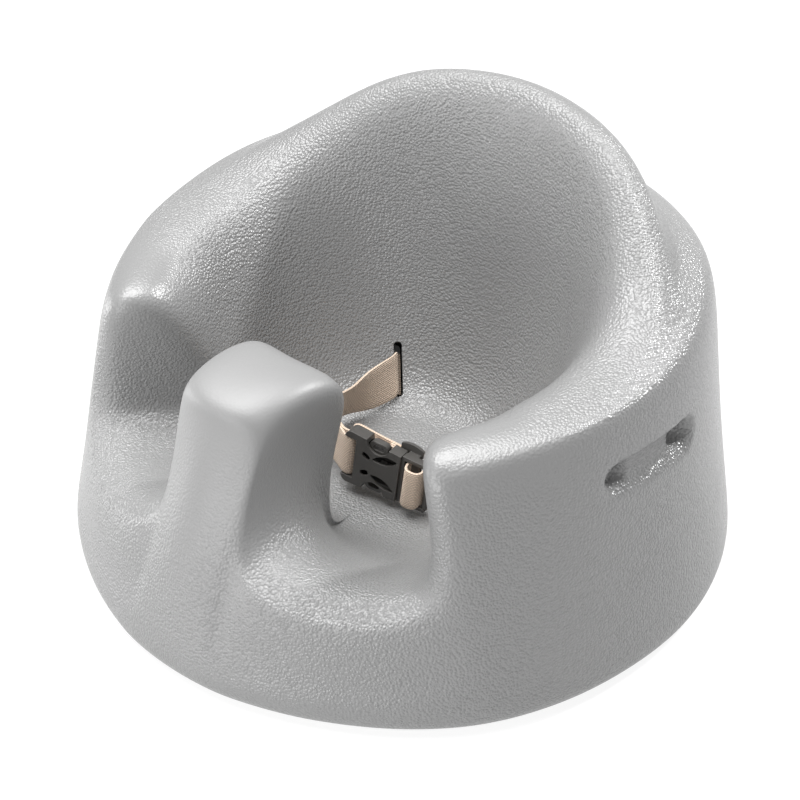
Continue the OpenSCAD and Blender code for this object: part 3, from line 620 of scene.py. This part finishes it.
def buckle_plastic():
    """Dark warm grey plastic with a fine haze and slightly soft edges."""
    n = Nodes("buckle_plastic")
    where = n.place()
    haze = n.noise(where, 2200.0, 2.0)
    worn = n.noise(where, 120.0, 2.0)
    soft_edges = n.add("Bevel", dict(samples=6), Radius=0.0005)
    bumped = n.bump(haze, 0.00004, 0.5, soft_edges)
    return n.finish(Base_Color=n.mix(worn, (0.058, 0.055, 0.051, 1), (0.078, 0.074, 0.069, 1)),
                    Roughness=0.3 + 0.1 * worn, Normal=bumped, Specular_IOR_Level=0.55)


def anchor_steel():
    """Zinc-plated steel with upright streaks."""
    n = Nodes("anchor_steel")
    stretched = n.add("VectorMath", dict(operation="MULTIPLY"), n.place(), (900.0, 900.0, 40.0))
    streaks = n.noise(stretched, 1.0, 3.0)
    soft_edges = n.add("Bevel", dict(samples=4), Radius=0.0004)
    return n.finish(Base_Color=n.mix(streaks, grey(0.5), grey(0.62)), Metallic=1.0,
                    Roughness=0.28 + 0.15 * streaks,
                    Normal=n.bump(streaks, 0.00005, 0.5, soft_edges))


WEBBING = webbing_cloth()

# The slot's cutter starts in front of the wall and ends past the tunnel, and the pocket's
# reaches below the seat
CUT_FROM, CUT_PAST, CUT_BELOW = 2 * SLOT_W, 0.5, -20


def prism(name, outline, depth, place):
    """A cutter: an outline drawn through a depth, put in place by a function of the three."""
    n = len(outline)
    points = [place(p[0], p[1], d) for d in (0, depth) for p in outline]
    faces = [tuple(range(n))[::-1], tuple(range(n, 2 * n))]
    faces += [(i, (i + 1) % n, n + (i + 1) % n, n + i) for i in range(n)]
    piece = new_mesh(name, np.array(points) * MM, faces)
    tool = bmesh.new()
    tool.from_mesh(piece.data)
    bmesh.ops.recalc_face_normals(tool, faces=tool.faces)
    tool.to_mesh(piece.data)
    tool.free()
    return piece


def slot_outline():
    c, r = (SLOT_L - SLOT_W) / 2, SLOT_W / 2
    arc = [cos_sin(a) for a in range(-90, 91, 15)]
    return [(side * (c + r * x), side * r * y) for side in (1, -1) for x, y in arc]


def cut_away(piece, way):
    """Takes a cutter out of the foam, with the cut foam on the cut painted nearly black as painted
    shade, and deletes the cutter.
    """
    way.data.materials.append(piece.data.materials[1])
    cut = piece.modifiers.new("cut", "BOOLEAN")
    cut.operation, cut.object, cut.solver = "DIFFERENCE", way, "EXACT"
    cut.material_mode = "TRANSFER"
    bpy.context.view_layer.update()
    seen = piece.evaluated_get(bpy.context.evaluated_depsgraph_get())
    after = bpy.data.meshes.new_from_object(seen)
    piece.modifiers.clear()
    piece.data = after
    bpy.data.objects.remove(way)


def cut_belt_ways(piece):
    """Cuts the two belt slots, their tunnels and the pockets under the seat."""
    loop_r = BAR_D / 2 + SEAT_GAP + WEB_T
    roof = np.array((MOUTH_R + TUNNEL_L * IN_X, MOUTH_Z + TUNNEL_L * IN_Z))
    reach = (PLATE_L / 2 + RUN_GAP) * np.array((-IN_Z, IN_X))
    low, high = roof - reach, roof + reach
    back_r = high[0] + (BAR_D + PLATE_T + 2 * loop_r) * IN_X
    pocket = [(low[0], CUT_BELOW), low, high, (back_r, high[1]), (back_r, CUT_BELOW)]
    for side in (1, -1):
        def in_tunnel(up, across, depth):
            x, z = depth - CUT_FROM, up + SLOT_RISE
            place = (MOUTH_R + x * IN_X - z * IN_Z, across, MOUTH_Z + x * IN_Z + z * IN_X)
            return spun(place, SLOT_A - 90) * (side, 1, 1)

        def in_pocket(r, z, depth):
            return spun((r, depth - CAVITY_W / 2, z), SLOT_A - 90) * (side, 1, 1)

        tunnel_l = TUNNEL_L + CUT_FROM + CUT_PAST
        ways = [prism("slot_cutter", slot_outline(), tunnel_l, in_tunnel),
                prism("pocket_cutter", pocket, CAVITY_W, in_pocket)]
        for way in ways:
            cut_away(piece, way)
    piece.data.set_sharp_from_angle(angle=math.radians(FOAM_CREASE))


foam = foam_piece()
foam.data.materials.append(foam_skin())
foam.data.materials.append(cut_foam_painted_shade())
cut_belt_ways(foam)
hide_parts("seat_body")
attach(foam, "seat")

left_path = to_left(MOUTH) + [run_knot(*s) for s in LEFT_RUN]
left_path += laid(LOOP_MID, FRONT_LEG)
left_path += wrapped(buckle_knot, LOOP_MID, WRAP_R, range(90, -91, -30))
left_path += laid(LOOP_MID, BACK_LEG)
right_path = MOUTH + [run_knot(*s) for s in RIGHT_RUN]
right_path += [buckle_knot(JOIN_X + 2 * RUN_GAP + x, JOIN_Z) for x in (3.2 * WEB_T, 0)]
adjuster_path = [buckle_knot(JOIN_X, JOIN_Z)]
adjuster_path += laid(END_BAR_AT, END_WRAP) + laid(LOOP_FROM, FRONT_LOOP) + laid(0, TAIL)
anchor_path = [tunnel_knot(x * TUNNEL_L, LAYER_Y) for x in (0, 0.5, 0.85)]
anchor_path += wrapped(tunnel_knot, BAR_X, ANCHOR_R, range(-120, 121, 24))
anchor_path += [tunnel_knot(x * TUNNEL_L, -LAYER_Y) for x in (0.85, 0.5, 0.3)]

# The left strap is two pieces that meet at this knot: the first runs from the seat to the belt, the
# second from the belt to the socket
SPLIT = 6
left_near = ribbon("left_strap_slot_end", left_path[:SPLIT + 1])
left_far = ribbon("left_strap_buckle_end", left_path[SPLIT:])
right_strap = ribbon("right_strap_cloth", right_path)
adjuster = ribbon("adjuster_cloth", adjuster_path, 6)
for piece, node in ((left_near, "left_strap"), (left_far, "left_strap"),
                    (right_strap, "right_strap"), (adjuster, "adjuster_strap")):
    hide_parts(node)
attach(adjuster, "belt")
left_path[0][:3] * MM
left_path[3][:3] * MM
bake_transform(left_near)
left_path[SPLIT][:3] * MM
left_path[SPLIT + 3][:3] * MM
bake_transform(left_far)
right_path[0][:3] * MM
right_path[3][:3] * MM
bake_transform(right_strap)
for name, path in (("right_anchor", anchor_path), ("left_anchor", to_left(anchor_path))):
    loop = ribbon(name + "_cloth", path, 4)
    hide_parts(name + "_strap")
    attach(loop, "seat")

# The solids that keep their own shape, and their finishes
skins = {"buckle_plastic": buckle_plastic(), "anchor_steel": anchor_steel(),
         "thread": thread_stitches()}
hard_pieces = {
    "buckle_plastic": ("buckle_socket", "buckle_plug", "upper_release_arm", "lower_release_arm"),
    "anchor_steel": ("left_anchor_plate", "right_anchor_plate"),
    "thread": ("left_anchor_tack", "right_anchor_tack", "left_strap_tack", "tail_tack"),
}
for skin, names in hard_pieces.items():
    for name in names:
        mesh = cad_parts[name].data
        mesh.materials.clear()
        mesh.materials.append(skins[skin])
